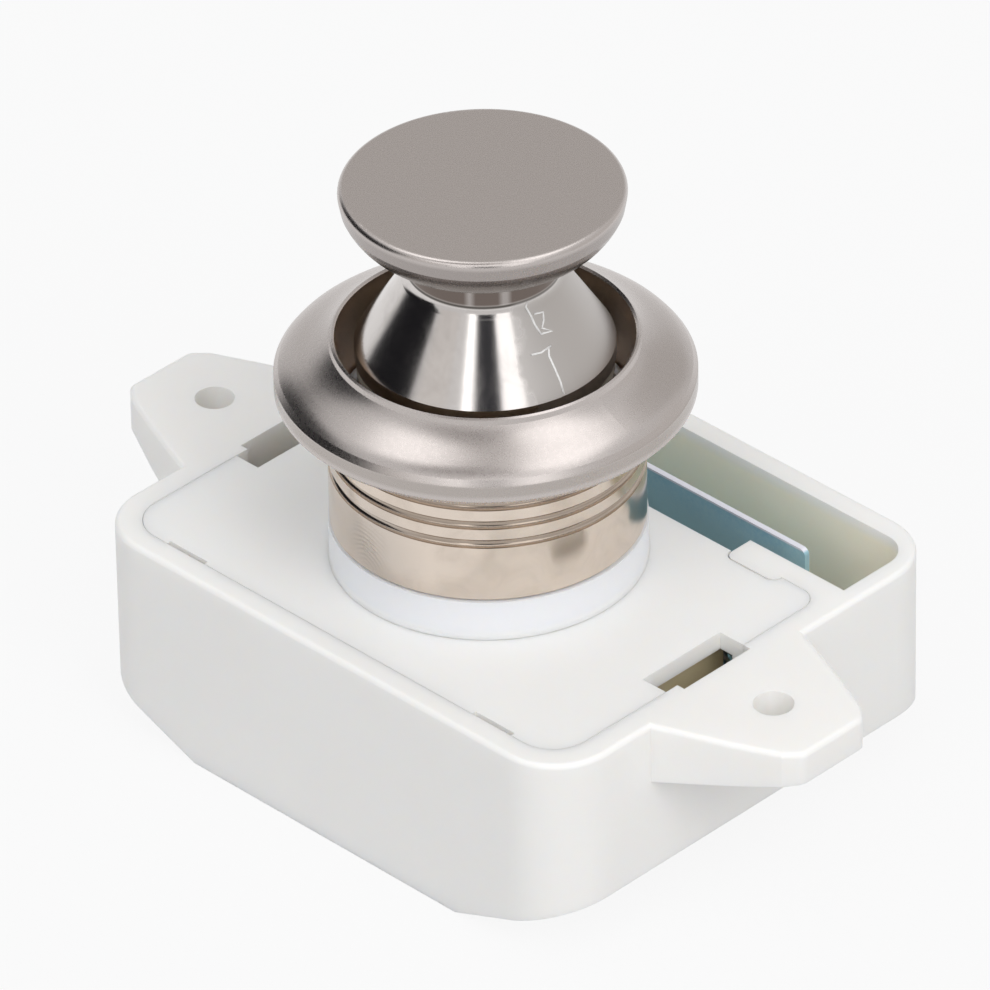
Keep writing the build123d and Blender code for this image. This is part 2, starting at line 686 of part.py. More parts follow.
# Plunger: tube for the main spring, flange and cone under the knob, two wedges, heart track
plunger_top = knob_cavity_top - plunger_cone_gap
with BuildPart() as plunger:
    with BuildSketch(Plane.XZ):
        outline([
            (screw_radius + screw_hole_gap, plunger_ledge_bottom),
            (plunger_bore_radius, plunger_ledge_bottom),
            (plunger_bore_radius, plunger_bottom),
            (plunger_tube_radius, plunger_bottom),
            (plunger_tube_radius, plunger_flange_bottom),
            (plunger_flange_radius, plunger_flange_bottom),
            (plunger_flange_radius, knob_skirt_bottom - seat_gap),
            (knob_cavity_radius - plunger_cone_gap, knob_skirt_bottom - seat_gap),
            (knob_cavity_radius - plunger_cone_gap, knob_cone_bottom - plunger_cone_gap),
            (knob_cavity_top_radius - plunger_cone_gap, plunger_top),
            (screw_radius + screw_hole_gap, plunger_top),
        ])
    revolve(axis=Axis.Z)
    # Wedges that push the latch plate as the plunger goes down
    fin_height = plunger_flange_bottom - plunger_bottom
    for side in (-1, 1):
        with BuildSketch(Plane.YZ.offset(side * (fin_inner + fin_outer) / 2)):
            outline([
                (-fin_front, plunger_bottom),
                (-fin_start, plunger_bottom),
                (-fin_start + cam_slope * fin_height, plunger_flange_bottom),
                (-fin_front, plunger_flange_bottom),
            ])
        extrude(amount=(fin_outer - fin_inner) / 2, both=True)
    block_pair(fin_inner, fin_foot_outer, -fin_front, -fin_start, plunger_bottom, fin_foot_top)
    # Pad with the heart-shaped track: the wire goes up the straight side and back round the island
    block(-pad_half_width, pad_half_width, -pad_front, -plunger_tube_radius + root_overlap,
          plunger_bottom, pad_top)
    with BuildSketch(Plane.XZ.offset(pad_front)):
        outline([
            (-track_half_width, track_bottom),
            (track_loop_edge, track_bottom),
            (track_loop_edge, track_top),
            (-track_half_width, track_top),
        ])
        island = [
            (island_inner, island_low),
            ((island_inner + island_outer) / 2, island_low_tip),
            (island_outer, island_low),
            (island_outer, island_high),
            ((island_inner + island_outer) / 2, island_notch),
            (island_inner, island_high),
        ]
        Polygon(*island, align=None, mode=Mode.SUBTRACT)
    extrude(amount=-track_depth, mode=Mode.SUBTRACT)

# Split washer and screw that hold the knob on the plunger
with BuildPart() as screw_washer:
    with Locations((0, 0, plunger_ledge_bottom - seat_gap)):
        Cylinder(washer_outer_radius, washer_thickness, align=(Align.CENTER, Align.CENTER, Align.MAX))
        Cylinder(washer_inner_radius, washer_thickness, mode=Mode.SUBTRACT,
                 align=(Align.CENTER, Align.CENTER, Align.MAX))
    block(0, washer_outer_radius + overrun, -washer_split / 2, washer_split / 2,
          screw_seat - overrun, plunger_ledge_bottom + overrun, Mode.SUBTRACT)

with BuildPart() as knob_screw:
    with Locations((0, 0, screw_seat)):
        Cylinder(screw_head_radius, screw_head_height, align=(Align.CENTER, Align.CENTER, Align.MAX))
        Cylinder(screw_radius, screw_length, align=(Align.CENTER, Align.CENTER, Align.MIN))
    fillet(knob_screw.faces().sort_by(Axis.Z)[0].edges(), screw_head_round)
    chamfer(knob_screw.faces().sort_by(Axis.Z)[-1].edges(), screw_tip_chamfer)
    with Locations((0, 0, screw_seat - screw_head_height)):
        Box(screw_recess_length, screw_recess_width, screw_recess_depth, mode=Mode.SUBTRACT,
            align=(Align.CENTER, Align.CENTER, Align.MIN))
        Box(screw_recess_width, screw_recess_length, screw_recess_depth, mode=Mode.SUBTRACT,
            align=(Align.CENTER, Align.CENTER, Align.MIN))

# Latch plate: sliding arm with a fork, two follower cheeks, two spring lugs, two sides and the hook
with BuildPart() as latch_plate:
    with BuildSketch(Plane.XY.offset(arm_bottom)):
        outline(mirrored([
            (fork_half_width, fork_end),
            (fork_half_width, -prong_relief_end),
            (prong_relief_half, -prong_relief_end),
            (prong_relief_half, -prong_end),
            (head_half_width, -prong_end),
            (head_half_width, head_back),
            (neck_half_width, head_back),
            (neck_half_width, hook_front + sheet),
        ]))
    extrude(amount=sheet)
    with BuildSketch(Plane.XZ.offset(-hook_front - sheet)):
        outline(mirrored([
            (neck_half_width, arm_bottom),
            (neck_half_width, hook_tail),
            (hook_half_width, hook_tail),
            (hook_half_width, hook_top),
        ]))
        fillet(vertices().group_by(Axis.X)[0] + vertices().group_by(Axis.X)[-1], hook_corner_radius)
    extrude(amount=sheet)
    for side in (-1, 1):
        with BuildSketch(Plane.YZ.offset(side * (cheek_inner + sheet / 2))):
            outline([
                (-fin_start + cam_slope * (cheek_top - plunger_bottom) + slide_gap, cheek_top),
                (horn_back, cheek_top),
                (horn_back, horn_foot),
                (cheek_back, cheek_shoulder),
                (cheek_back, arm_bottom),
                (-fin_start + cam_slope * (arm_bottom - plunger_bottom) + slide_gap, arm_bottom),
            ])
        extrude(amount=sheet / 2, both=True)
    block_pair(lug_inner, lug_outer, head_back - sheet, head_back, arm_bottom, lug_top)
    block_pair(head_half_width - sheet, head_half_width, -side_front, side_back, arm_bottom, side_top)

# Main spring, as a closed sleeve
with BuildPart() as main_spring:
    with Locations((0, 0, floor_top + seat_gap)):
        Cylinder(main_spring_radius + main_spring_wire, plunger_ledge_bottom - floor_top - 2 * seat_gap,
                 align=(Align.CENTER, Align.CENTER, Align.MIN))
        Cylinder(main_spring_radius - main_spring_wire, plunger_ledge_bottom - floor_top - 2 * seat_gap,
                 align=(Align.CENTER, Align.CENTER, Align.MIN), mode=Mode.SUBTRACT)


def return_spring(side):
    # Spring between one lug of the latch plate and the case's partition, as a closed sleeve
    with BuildPart() as spring:
        with BuildSketch(Plane.XZ.offset(-partition_front + seat_gap)):
            with Locations((side * return_spring_place, return_spring_height)):
                Circle(return_spring_radius + return_spring_wire)
                Circle(return_spring_radius - return_spring_wire, mode=Mode.SUBTRACT)
        extrude(amount=partition_front - head_back - 2 * seat_gap)
    return spring


latch_spring_left = return_spring(-1)
latch_spring_right = return_spring(1)

# Follower wire: foot in the case's socket, upright, and a tip in the plunger's track
wire_tip_end = pad_front - track_depth + wire_tip_gap
with BuildPart() as follower_wire:
    with BuildLine() as wire_path:
        FilletPolyline((0, -wire_foot_end, wire_pivot_height), (0, -wire_place, wire_pivot_height),
                       (0, -wire_place, wire_tip_height), (0, -wire_tip_end, wire_tip_height),
                       radius=wire_bend_radius)
    with BuildSketch(Plane(origin=wire_path.wire().start_point(), z_dir=(0, 1, 0))):
        Circle(wire_radius)
    sweep(path=wire_path.wire())

pieces = {
    "case": case,
    "lid": lid,
    "guide_sleeve": guide_sleeve,
    "collar": collar,
    "knob": knob,
    "plunger": plunger,
    "knob_screw": knob_screw,
    "screw_washer": screw_washer,
    "main_spring": main_spring,
    "latch_plate": latch_plate,
    "latch_spring_left": latch_spring_left,
    "latch_spring_right": latch_spring_right,
    "follower_wire": follower_wire,
}
for name, piece in pieces.items():
    piece.part.label = name
    export_step(piece.part, f"parts/{name}.step")
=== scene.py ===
# Push button cabinet lock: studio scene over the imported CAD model.
# CAD nodes keep their shapes and get worn, procedural finishes; the three springs get wound wire.
from math import cos, pi, radians, sin, tau

import bpy
from mathutils import Matrix, Vector


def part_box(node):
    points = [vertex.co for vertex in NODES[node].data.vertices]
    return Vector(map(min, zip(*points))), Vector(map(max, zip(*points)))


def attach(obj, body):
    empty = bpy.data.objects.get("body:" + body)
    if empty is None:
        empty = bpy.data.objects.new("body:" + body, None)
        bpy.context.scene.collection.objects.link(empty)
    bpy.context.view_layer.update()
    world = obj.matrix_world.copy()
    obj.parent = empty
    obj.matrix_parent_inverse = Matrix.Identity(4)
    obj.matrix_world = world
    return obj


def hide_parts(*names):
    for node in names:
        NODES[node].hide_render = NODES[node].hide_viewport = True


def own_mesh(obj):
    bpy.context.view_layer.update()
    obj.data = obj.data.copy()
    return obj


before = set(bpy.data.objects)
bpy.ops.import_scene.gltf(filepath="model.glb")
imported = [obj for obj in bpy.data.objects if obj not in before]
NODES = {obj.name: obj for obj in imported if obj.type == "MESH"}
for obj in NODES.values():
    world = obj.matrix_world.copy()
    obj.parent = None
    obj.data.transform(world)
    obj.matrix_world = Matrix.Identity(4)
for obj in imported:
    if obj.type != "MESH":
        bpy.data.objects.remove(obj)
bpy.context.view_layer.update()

MM = 0.001
HALF_TURN = 180

# Camera fitted to the photograph, in millimetres and degrees, with its clip distances in metres
CAMERA_AZIMUTH = 44.99
CAMERA_ELEVATION = 34.52
CAMERA_ROLL = -1.015
CAMERA_DISTANCE = 993.2
CAMERA_RIGHT = 0.487
CAMERA_UP = 4.251
CAMERA_CLIP = (0.05, 20)
FOCAL_PIXELS = 12334.0
IMAGE_PIXELS = 990
SENSOR_WIDTH = 36.0

# Floor and world: lengths in millimetres, and a strength of 1 is white
FLOOR_HEIGHT = -18.55
FLOOR_HALF = 4000
FLOOR_COLOUR = (0.55, 0.55, 0.56)
FLOOR_ROUGHNESS = 0.9
FLOOR_WHITE_SHARE = 0.9
WHITE_STRENGTH = 1.0
WORLD_COLOUR = (0.985, 0.99, 1.0)
WORLD_STRENGTH = 0.58

# Lamps, in metres and degrees: name, azimuth, elevation, width, brightness and colour
LAMP_DISTANCE = 1.25
LAMP_HEIGHT = 0.8
LAMPS = (
    ("left_box", 8, 40, 0.6, 1.75, (0.97, 0.985, 1.0)),
    ("right_box", 78, 38, 0.6, 3.5, (1.0, 0.99, 0.98)),
    ("top_box", 45, 72, 0.8, 1.15, (1.0, 1.0, 1.0)),
)

# Panels that only reflections see, in metres and degrees: name, azimuth, elevation, distance,
# width, height and colour
CARDS = (
    ("front_card", 47, 31, 0.9, 0.3, 0.3, (0.01, 0.0105, 0.016)),
    ("left_strip", 28, 31, 0.95, 0.13, 0.4, (2.2, 2.2, 2.2)),
    ("right_strip", 70, 31, 0.95, 0.3, 0.4, (1.7, 1.7, 1.7)),
    ("gap_card", -3, 28, 0.95, 0.4, 0.4, (0.8, 0.78, 0.76)),
    ("left_card", -58.5, 24.5, 0.55, 0.73, 0.4, (0.012, 0.012, 0.014)),
    ("right_card", 140, 18, 0.7, 0.8, 0.5, (0.75, 0.735, 0.72)),
    ("back_card", 215, 36, 0.9, 1.2, 0.7, (0.6, 0.585, 0.57)),
    ("brow", 45, 56, 0.9, 1.2, 0.31, (1.5, 1.5, 1.5)),
    ("hood_front", 18, 74, 0.9, 0.5, 0.34, (0.36, 0.345, 0.34)),
    ("hood_left", -82, 72, 0.9, 0.44, 0.36, (2.0, 2.0, 2.0)),
    ("hood_right", 140, 70, 0.9, 0.55, 0.36, (2.0, 2.0, 2.0)),
    ("zenith", 45, 90, 0.92, 0.6, 0.3, (0.56, 0.55, 0.54)),
)

# In the finishes below, places and sizes are in millimetres. A noise is a size, a detail and at
# times a roughness and a distortion, and most of its values lie in NOISE_RANGE. A bump is a depth
# and a strength. A range is a low and a high value.
NOISE_RANGE = (0.3, 0.7)

# White plastic, with the light that spreads inside it, and a painted warm glow on the walls of the
# case's pocket
PLASTIC_IOR = 1.5
PLASTIC_SPREAD_SHARE = 0.45
PLASTIC_SPREAD_SCALE = 1.8
PLASTIC_SPREAD_RADIUS = (1.0, 0.85, 0.7)
PLASTIC_MOTTLE = (9, 2)
PLASTIC_SHEEN = (0.6, 3)
PLASTIC_ROUGHNESS = (0.34, 0.46)
PLASTIC_GRAIN = (0.25, 2)
PLASTIC_GRAIN_BUMP = (0.004, 0.5)
PLASTIC_WAVE = (6, 1)
PLASTIC_WAVE_BUMP = (0.03, 0.4)
CASE_COLOURS = ((0.925, 0.915, 0.892), (0.915, 0.903, 0.877))
LID_COLOURS = ((0.925, 0.915, 0.895), (0.915, 0.905, 0.882))
PLUNGER_COLOURS = ((0.7, 0.69, 0.64), (0.67, 0.66, 0.6))
POCKET_Y = (15.2, 23.5)
POCKET_X = (-25.2, 25.2)
POCKET_TOP = (-1.2, -0.4)
POCKET_SOFT = 0.2
POCKET_GLOW_COLOUR = (1.0, 0.93, 0.8)
SLEEVE_SKIRT_COLOUR = (0.92, 0.91, 0.89)
SLEEVE_FOOT_COLOUR = (0.85, 0.86, 0.89)
SLEEVE_FOOT_RISE = (0.1, 0.9)

# Nickel plate: smears on the polished part, a grain on the satin part, ripples on both
SATIN_NICKEL = (0.56, 0.515, 0.495)
SMEAR = (3.5, 4, 0.6, 0.8)
SMEAR_RANGE = (0.45, 0.7)
SMEAR_ROUGHNESS = 0.05
SATIN_SHEEN = (0.4, 2)
SATIN_ROUGHNESS = (0.26, 0.29)
SATIN_GRAIN = (0.2, 2)
SATIN_BUMP = (0.001, 0.05)
RIPPLE = (2.5, 2)
RIPPLE_BUMP = (0.004, 0.35)

# Rosette and barrel: painted shade in the rolled grooves, a painted darker reflection on the rim's
# band, a painted warm reflection in the bore, and a finger mark with a haze that also paints shade
# on the barrel's left front. At a scale of 1 the wave texture's rings are WAVE_PITCH apart.
COLLAR_SATIN_START = 15.3
COLLAR_SATIN_SOFT = 0.15
COLLAR_COLOURS = ((0.74, 0.645, 0.56), (0.67, 0.58, 0.5))
COLLAR_ROUGHNESS = 0.16
GROOVE_FIRST = 9.2
GROOVE_LAST = 12.8
GROOVE_PITCH = 1.8
GROOVE_MARGIN = 0.8
GROOVE_SOFT = 0.1
GROOVE_SHADE_RANGE = (0.2, 0.45)
GROOVE_SHADE_SHARE = 0.75
GROOVE_SHADE_COLOUR = (0.3, 0.24, 0.19)
HAZE_AND_SHADE_REACH = (2, 6)
HAZE_AND_SHADE_SHARE = 0.8
HAZE_AND_SHADE_COLOUR = (0.56, 0.5, 0.45)
BAND_HEIGHTS = (16.5, 17.5)
BAND_SOFT = 0.15
BAND_SHADE_COLOUR = (0.46, 0.42, 0.395)
FINGER_PLACE = (-0.8, -12.8, 6.3)
FINGER_REACH = (0.8, 2.5)
FINGER_COLOUR = (0.46, 0.4, 0.35)
FINGER_ROUGHNESS = 0.35
RING_PLACE = (-1.2, -12.8, 3.8)
RING_PITCH = 0.4
RING_RANGE = (0.3, 0.8)
RING_SHARE = 0.6
RING_DISTORTION = 3.0
RING_DETAIL = 1.0
WAVE_PITCH = pi / 10
BORE_EDGE = (12.08, 12.15)
BORE_TOP = (20.62, 20.82)
BORE_REFLECTION_COLOUR = (0.8, 0.64, 0.51)
BORE_ROUGHNESS = 0.3

# Knob: painted shade on the neck, lighter in two painted highlight streaks, then bands of painted
# shade by height with their soft edge and colour
KNOB_SATIN_START = 29.4
KNOB_SATIN_SOFT = 0.12
KNOB_COLOURS = ((0.66, 0.625, 0.605), (0.6, 0.565, 0.545))
KNOB_ROUGHNESS = 0.14
HIGHLIGHT_STREAK_TURNS = ((-13.5, -8.5), (12, 19))
HIGHLIGHT_STREAK_SOFT = 2
HIGHLIGHT_STREAK_SHARE = 0.45
NECK_BOTTOM = 27.4
NECK_TOP = 29.3
NECK_SOFT = 0.15
NECK_SHADE_COLOUR = (0.16, 0.13, 0.115)
UNDERSIDE_TOP = 32.5
RIM_TOP = 34.3
NECK_FOOT = 0.2
KNOB_SHADE_BANDS = (
    (NECK_TOP, UNDERSIDE_TOP, 0.4, (0.28, 0.25, 0.23)),
    (UNDERSIDE_TOP, RIM_TOP, 0.2, (0.38, 0.345, 0.33)),
    (NECK_BOTTOM - NECK_FOOT, NECK_BOTTOM, 0.06, (0.1, 0.09, 0.08)),
)

# Torn film on the right-hand side of the knob's cone; turns are degrees to the right of the camera
FILM_WAVE = (2.2, 2)
FILM_SWAY = 5
FILM_START = (19.5, 23.5)
FILM_END = (110, 126)
FILM_TOP = (26.9, 27.4)
FILM_COLOUR = (0.56, 0.53, 0.51)
FILM_ROUGHNESS = 0.42

# Creases of that film; each is a line of places on the cone: a turn and a height
CONE_BOTTOM = 20.35
CONE_TOP = 26.4
CONE_BOTTOM_RADIUS = 10.47
CONE_TOP_RADIUS = 6.6
NECK_RADIUS = 6.15
CREASE_RADIUS = 0.09
CREASE_NOISE = (0.3, 3)
CREASE_COLOURS = ((0.95, 0.94, 0.93), (0.8, 0.79, 0.78))
CREASE_ROUGHNESS = 0.4
CREASES = (
    ((33.1, 27.12), (30.8, 26.84), (32.7, 26.15), (33.4, 25.49), (35.4, 24.78)),
    ((35.4, 26.2), (42.6, 26.06), (40.6, 25.57), (37.4, 25.12), (43.3, 24.64), (35.4, 24.78)),
    ((25.8, 23.67), (31.7, 23.62), (38.8, 23.8)),
    ((37.0, 23.75), (35.5, 23.21), (36.2, 22.4), (36.7, 21.38), (36.3, 20.45)),
)

# Latch plate: speckled blue zinc, darker towards its top edge, with a pale edge and a painted olive
# shade on its sides
ZINC_METALLIC = 0.3
ZINC_SPECKLE = (0.35, 4, 0.7)
ZINC_SPECKLE_RANGE = (0.35, 0.65)
ZINC_SPECKLE_SHARE = 0.5
ZINC_RISE = (-4.5, -1.3)
ZINC_CLOUD = (4, 3)
ZINC_CLOUD_RANGE = (0.6, 1)
ZINC_PALE = (0.55, 0.8, 0.86)
ZINC_BLUE = (0.28, 0.54, 0.7)
ZINC_SPECK = (0.52, 0.74, 0.8)
ZINC_TOP = (-1.15, -1.02)
ZINC_TOP_COLOUR = (0.85, 0.86, 0.95)
ZINC_SIDE = (20.1, 20.2)
ZINC_SIDE_SHADE_COLOUR = (0.78, 0.68, 0.44)
ZINC_SHEEN = (0.8, 4)
ZINC_ROUGHNESS = (0.32, 0.5)
ZINC_GRAIN = (0.2, 3)
ZINC_BUMP = (0.006, 0.6)

# Steel: its colour and roughness for each piece, and the streaks that all have
SCREW_STEEL = ((0.6, 0.62, 0.64), 0.25)
WASHER_STEEL = ((0.5, 0.5, 0.5), 0.3)
WIRE_STEEL = ((0.52, 0.52, 0.53), 0.25)
SPRING_STEEL = ((0.5, 0.5, 0.51), 0.25)
STEEL_STREAK = (0.5, 4)
STEEL_STRETCH = (1, 1, 0.2)
STEEL_SHADE = 0.8
STEEL_WEAR = 0.12
STEEL_GRAIN = (0.2, 3)
STEEL_BUMP = (0.004, 0.5)

# Wound springs: wire radius, turns, and closed turns at each end
MAIN_WIRE = 0.45
MAIN_TURNS = 9
RETURN_WIRE = 0.25
RETURN_TURNS = 11
CLOSED_TURNS = 1.0
STEPS_PER_TURN = 28
WIRE_SIDES = 10


def direction(azimuth, elevation):
    """Unit vector from the object towards a place seen at that azimuth and elevation."""
    a, e = radians(azimuth), radians(elevation)
    return Vector((sin(a) * cos(e), -cos(a) * cos(e), sin(e)))


def make_camera():
    """Camera at the photograph's viewing angle, with its slight roll."""
    back = direction(CAMERA_AZIMUTH, CAMERA_ELEVATION)
    azimuth, roll = radians(CAMERA_AZIMUTH), radians(CAMERA_ROLL)
    level = Vector((cos(azimuth), sin(azimuth), 0))
    upright = back.cross(level)
    right = cos(roll) * level + sin(roll) * upright
    up = -sin(roll) * level + cos(roll) * upright
    data = bpy.data.cameras.new("camera")
    data.sensor_width = SENSOR_WIDTH
    data.lens = FOCAL_PIXELS / IMAGE_PIXELS * SENSOR_WIDTH
    data.clip_start, data.clip_end = CAMERA_CLIP
    camera = bpy.data.objects.new("camera", data)
    place = (CAMERA_DISTANCE * back + CAMERA_RIGHT * right + CAMERA_UP * up) * MM
    camera.matrix_world = Matrix((
        (right.x, up.x, back.x, place.x),
        (right.y, up.y, back.y, place.y),
        (right.z, up.z, back.z, place.z),
        (0, 0, 0, 1),
    ))
    bpy.context.scene.collection.objects.link(camera)
    bpy.context.scene.camera = camera


class Finish:
    """A procedural material: a principled shader and short calls for the nodes that feed it."""

    def __init__(self, name, **values):
        self.material = bpy.data.materials.new(name)
        self.material.use_nodes = True
        self.tree = self.material.node_tree
        self.shader = self.tree.nodes["Principled BSDF"]
        self.place = self.tree.nodes.new("ShaderNodeTexCoord").outputs["Object"]
        for socket, value in values.items():
            self.shader.inputs[socket.replace("_", " ")].default_value = value

    def link(self, output, target):
        self.tree.links.new(output, target)

    def set(self, socket, output):
        self.link(output, self.shader.inputs[socket])

    def bare(self, socket):
        """What feeds that socket of the shader up to now."""
        return self.shader.inputs[socket].links[0].from_socket

    def noise(self, size, detail, roughness=0.55, distortion=0.0, stretch=(1, 1, 1)):
        """Noise whose blobs are about size millimetres across."""
        mapping = self.tree.nodes.new("ShaderNodeMapping")
        mapping.inputs["Scale"].default_value = stretch
        self.link(self.place, mapping.inputs["Vector"])
        node = self.tree.nodes.new("ShaderNodeTexNoise")
        node.inputs["Scale"].default_value = 1 / (size * MM)
        node.inputs["Detail"].default_value = detail
        node.inputs["Roughness"].default_value = roughness
        node.inputs["Distortion"].default_value = distortion
        self.link(mapping.outputs["Vector"], node.inputs["Vector"])
        return node.outputs["Fac"]

    def axis(self, name):
        """One coordinate in the row frame, in millimetres."""
        split = self.tree.nodes.new("ShaderNodeSeparateXYZ")
        self.link(self.place, split.inputs["Vector"])
        return self.maths("MULTIPLY", split.outputs[name], 1 / MM)

    def maths(self, operation, first, second):
        """Result of a sum of that kind; each term is a number or an output."""
        node = self.tree.nodes.new("ShaderNodeMath")
        node.operation = operation
        for slot, value in zip(node.inputs, (first, second)):
            if isinstance(value, (int, float)):
                slot.default_value = value
            else:
                self.link(value, slot)
        return node.outputs["Value"]

    def times(self, first, second):
        return self.maths("MULTIPLY", first, second)

    def spread(self, output, low, high, reach=NOISE_RANGE):
        """A value from one range, a noise's own if none is given, stretched over another."""
        node = self.tree.nodes.new("ShaderNodeMapRange")
        node.inputs["From Min"].default_value, node.inputs["From Max"].default_value = reach
        node.inputs["To Min"].default_value = low
        node.inputs["To Max"].default_value = high
        self.link(output, node.inputs["Value"])
        return node.outputs["Result"]

    def rise(self, value, reach):
        """0 below a range of the value and 1 above it."""
        return self.spread(value, 0, 1, reach)

    def fall(self, value, reach):
        """1 below a range of the value and 0 above it."""
        return self.spread(value, 1, 0, reach)

    def mask(self, value, low, high, soft):
        """1 where a value lies between two limits, falling to 0 over a soft edge."""
        return self.times(self.rise(value, (low - soft, low + soft)),
                          self.fall(value, (high - soft, high + soft)))

    def colours(self, output, first, second):
        """Mix of two colours by a value from 0 to 1."""
        node = self.tree.nodes.new("ShaderNodeMix")
        node.data_type = "RGBA"
        self.link(output, node.inputs["Factor"])
        for slot, colour in (("A", first), ("B", second)):
            target = [s for s in node.inputs if s.name == slot and s.type == "RGBA"][0]
            if isinstance(colour, tuple):
                target.default_value = (*colour, 1)
            else:
                self.link(colour, target)
        return [s for s in node.outputs if s.type == "RGBA"][0]

    def values(self, output, first, second):
        """Mix of two values by a value from 0 to 1."""
        node = self.tree.nodes.new("ShaderNodeMix")
        node.data_type = "FLOAT"
        self.link(output, node.inputs["Factor"])
        for slot, value in (("A", first), ("B", second)):
            target = [s for s in node.inputs if s.name == slot and s.type == "VALUE"][0]
            if isinstance(value, (int, float)):
                target.default_value = value
            else:
                self.link(value, target)
        return [s for s in node.outputs if s.type == "VALUE"][0]

    def tint(self, share, colour):
        """Lays a colour over the finish where the share is 1."""
        self.set("Base Color", self.colours(share, self.bare("Base Color"), colour))

    def dull(self, share, roughness):
        """Gives the finish another roughness where the share is 1."""
        self.set("Roughness", self.values(share, self.bare("Roughness"), roughness))

    def moved(self, place):
        """Coordinates in millimetres with their origin at a place in the row frame."""
        mapping = self.tree.nodes.new("ShaderNodeMapping")
        mapping.inputs["Scale"].default_value = (1 / MM, 1 / MM, 1 / MM)
        mapping.inputs["Location"].default_value = -Vector(place)
        self.link(self.place, mapping.inputs["Vector"])
        return mapping.outputs["Vector"]

    def spot(self, place, reach):
        """1 within the first distance of a place, in millimetres, falling to 0 at the second."""
        length = self.tree.nodes.new("ShaderNodeVectorMath")
        length.operation = "LENGTH"
        self.link(self.moved(place), length.inputs[0])
        return self.fall(length.outputs["Value"], reach)

    def rings(self, place, pitch):
        """Wavy rings round a place, a pitch apart in millimetres, like a fingertip's ridges."""
        node = self.tree.nodes.new("ShaderNodeTexWave")
        node.wave_type = "RINGS"
        node.rings_direction = "SPHERICAL"
        node.inputs["Scale"].default_value = WAVE_PITCH / pitch
        node.inputs["Distortion"].default_value = RING_DISTORTION
        node.inputs["Detail"].default_value = RING_DETAIL
        self.link(self.moved(place), node.inputs["Vector"])
        return node.outputs["Fac"]

    def bump(self, output, depth, strength, after=None):
        """Bump of that depth in millimetres, laid over another bump if one is given."""
        node = self.tree.nodes.new("ShaderNodeBump")
        node.inputs["Strength"].default_value = strength
        node.inputs["Distance"].default_value = depth * MM
        self.link(output, node.inputs["Height"])
        if after:
            self.link(after, node.inputs["Normal"])
        return node.outputs["Normal"]


def dress(node, finish):
    """Gives a CAD node that finish in every slot."""
    for slot in NODES[node].material_slots:
        slot.material = finish.material


def white_plastic(name, base, shade):
    """Moulded off-white plastic: faint mottling, fine grain and soft gloss."""
    finish = Finish(name, IOR=PLASTIC_IOR, Subsurface_Weight=PLASTIC_SPREAD_SHARE,
                    Subsurface_Scale=PLASTIC_SPREAD_SCALE * MM,
                    Subsurface_Radius=PLASTIC_SPREAD_RADIUS)
    mottle = finish.spread(finish.noise(*PLASTIC_MOTTLE), 0, 1)
    finish.set("Base Color", finish.colours(mottle, base, shade))
    finish.set("Roughness", finish.spread(finish.noise(*PLASTIC_SHEEN), *PLASTIC_ROUGHNESS))
    grain = finish.bump(finish.noise(*PLASTIC_GRAIN), *PLASTIC_GRAIN_BUMP)
    finish.set("Normal", finish.bump(finish.noise(*PLASTIC_WAVE), *PLASTIC_WAVE_BUMP, grain))
    return finish


def case_plastic(name):
    """The case's plastic, with a painted warm glow on the pocket's walls for light that comes
    through them.
    """
    finish = white_plastic(name, *CASE_COLOURS)
    along = finish.mask(finish.axis("Y"), *POCKET_Y, POCKET_SOFT)
    across = finish.mask(finish.axis("X"), *POCKET_X, POCKET_SOFT)
    inside = finish.times(finish.times(along, across), finish.fall(finish.axis("Z"), POCKET_TOP))
    # Painted warm glow on the pocket's walls
    finish.tint(inside, POCKET_GLOW_COLOUR)
    return finish


def sleeve_plastic(name):
    """Natural acetal, bluish on the upright foot and as white as the lid on the skirt."""
    finish = white_plastic(name, SLEEVE_SKIRT_COLOUR, SLEEVE_SKIRT_COLOUR)
    rise = finish.rise(finish.axis("Z"), SLEEVE_FOOT_RISE)
    finish.set("Base Color", finish.colours(rise, SLEEVE_SKIRT_COLOUR, SLEEVE_FOOT_COLOUR))
    return finish


def nickel(name, satin_start, satin_soft, polish, polish_dark, polish_roughness):
    """Nickel plate, satin above one height and polished below it."""
    finish = Finish(name, Metallic=1.0)
    satin = finish.rise(finish.axis("Z"), (satin_start - satin_soft, satin_start + satin_soft))
    smear = finish.rise(finish.noise(*SMEAR), SMEAR_RANGE)
    polished = finish.colours(smear, polish, polish_dark)
    finish.set("Base Color", finish.colours(satin, polished, SATIN_NICKEL))
    rough = finish.maths("ADD", finish.times(smear, SMEAR_ROUGHNESS), polish_roughness)
    sheen = finish.spread(finish.noise(*SATIN_SHEEN), *SATIN_ROUGHNESS)
    finish.set("Roughness", finish.values(satin, rough, sheen))
    grain = finish.times(finish.noise(*SATIN_GRAIN), satin)
    ripple = finish.bump(finish.noise(*RIPPLE), *RIPPLE_BUMP)
    finish.set("Normal", finish.bump(grain, *SATIN_BUMP, ripple))
    return finish


